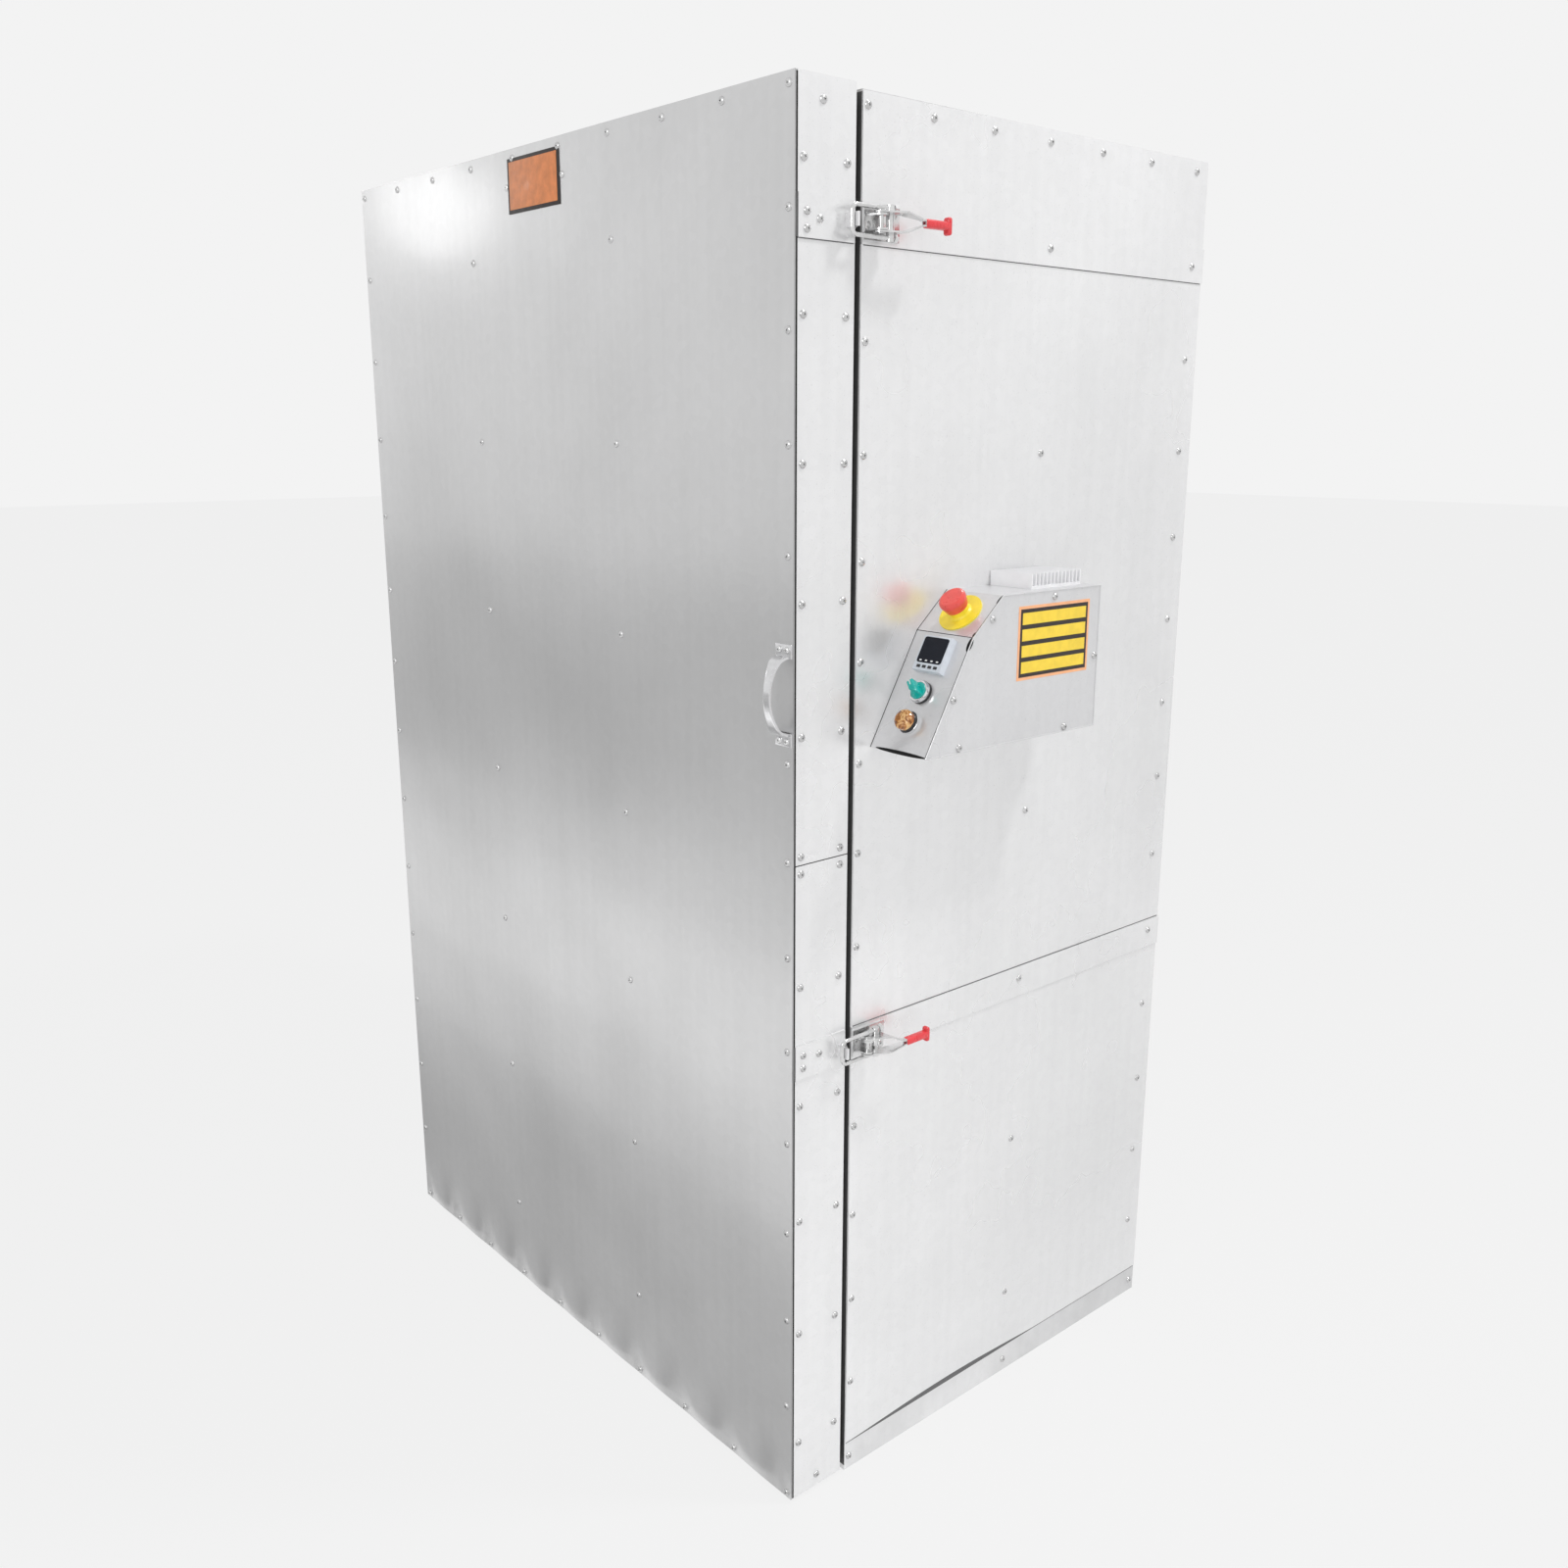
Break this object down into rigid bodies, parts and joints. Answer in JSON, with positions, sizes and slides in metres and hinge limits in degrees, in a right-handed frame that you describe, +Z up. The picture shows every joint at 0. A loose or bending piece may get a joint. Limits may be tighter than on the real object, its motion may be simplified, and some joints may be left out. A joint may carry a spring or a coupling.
{
  "type": "powder coating oven",
  "caption": "Upright insulated sheet steel curing oven with a side-hinged door, toggle latches, a pull handle and a control box on its side wall.",
  "frame": {"origin": "on the ground, in the middle of the cabinet's underside, without the door", "axes": "+Z up, the door looks to -Y, the control box and the latches are on the +X side"},
  "size_m": [1.2242, 0.8365, 1.869],
  "materials": {
    "galvanised_wall": "satin, galvanised",
    "galvanised_door": "satin, galvanised",
    "inner_sheet": "satin, heat dulled",
    "plated_steel": "bright zinc",
    "gasket": "black woven glass rope",
    "sink_metal": "bright extruded",
    "black_plastic": "fine grain",
    "yellow_plastic": "satin",
    "red_plastic": "satin",
    "red_vinyl": "dipped vinyl",
    "teal_plastic": "satin",
    "amber_lens": "translucent",
    "element_sheath": "heat darkened"
  },
  "bodies": {
    "cabinet": {"right_wall": "galvanised_wall", "left_wall": "galvanised_wall", "rear_wall": "galvanised_wall", "roof_panel": "galvanised_wall", "base_panel": "galvanised_wall", "inner_liner": "inner_sheet", "front_frame": "galvanised_wall", "door_gasket": "gasket", "foot_flashing": "galvanised_wall", "strap_upper": "galvanised_wall", "strap_lower": "galvanised_wall", "latch_base_upper": "plated_steel", "latch_base_lower": "plated_steel", "control_box": "galvanised_wall", "control_cover": "galvanised_wall", "heat_sink": "sink_metal", "temperature_controller": "black_plastic", "stop_ring": "yellow_plastic", "selector_bezel": "plated_steel", "lamp_bezel": "plated_steel", "lamp_lens": "amber_lens", "cable_gland": "black_plastic", "cabinet_hinges": "plated_steel", "element_left": "element_sheath", "element_right": "element_sheath", "hanging_rails": "inner_sheet", "hanging_bars": "plated_steel"},
    "door": {"door_panel": "galvanised_door", "door_face": "galvanised_door", "door_edge_upper": "galvanised_wall", "door_edge_lower": "galvanised_wall", "door_liner": "inner_sheet", "door_handle": "plated_steel", "catch_upper": "plated_steel", "catch_lower": "plated_steel", "door_hinges": "plated_steel"},
    "upper_lever": {"lever_upper": "plated_steel", "grip_upper": "red_vinyl"},
    "upper_loop": {"loop_upper": "plated_steel"},
    "lower_lever": {"lever_lower": "plated_steel", "grip_lower": "red_vinyl"},
    "lower_loop": {"loop_lower": "plated_steel"},
    "stop_head": {"stop_button": "red_plastic"},
    "selector": {"selector_knob": "teal_plastic"}
  },
  "joints": [
    {"name": "door_hinge", "type": "hinge", "parent": "cabinet", "child": "door", "pos_m": [-0.5625, -0.356, 0.9375], "axis": [0, 0, -1], "range_deg": [0, 180]},
    {"name": "lower_latch", "type": "hinge", "parent": "cabinet", "child": "lower_lever", "pos_m": [0.5705, -0.3375, 0.676], "axis": [0, 0, -1], "range_deg": [0, 130]},
    {"name": "lower_loop_swing", "type": "hinge", "parent": "lower_lever", "child": "lower_loop", "pos_m": [0.5675, -0.3195, 0.676], "axis": [0, 0, 1], "range_deg": [0, 142]},
    {"name": "upper_latch", "type": "hinge", "parent": "cabinet", "child": "upper_lever", "pos_m": [0.5705, -0.3375, 1.718], "axis": [0, 0, -1], "range_deg": [0, 130]},
    {"name": "upper_loop_swing", "type": "hinge", "parent": "upper_lever", "child": "upper_loop", "pos_m": [0.5675, -0.3195, 1.718], "axis": [0, 0, 1], "range_deg": [0, 142]},
    {"name": "stop_push", "type": "slide", "parent": "cabinet", "child": "stop_head", "axis": [0, 0.6652, -0.7467], "range_m": [0, 0.005]},
    {"name": "selector_turn", "type": "hinge", "parent": "cabinet", "child": "selector", "pos_m": [0.602, -0.28484, 1.15772], "axis": [0, -0.8705, 0.4923], "range_deg": [-90, 0]}
  ],
  "couplings": [
    {"joint": "lower_loop_swing", "follows": "lower_latch", "ratio": 1.08},
    {"joint": "upper_loop_swing", "follows": "upper_latch", "ratio": 1.08}
  ]
}
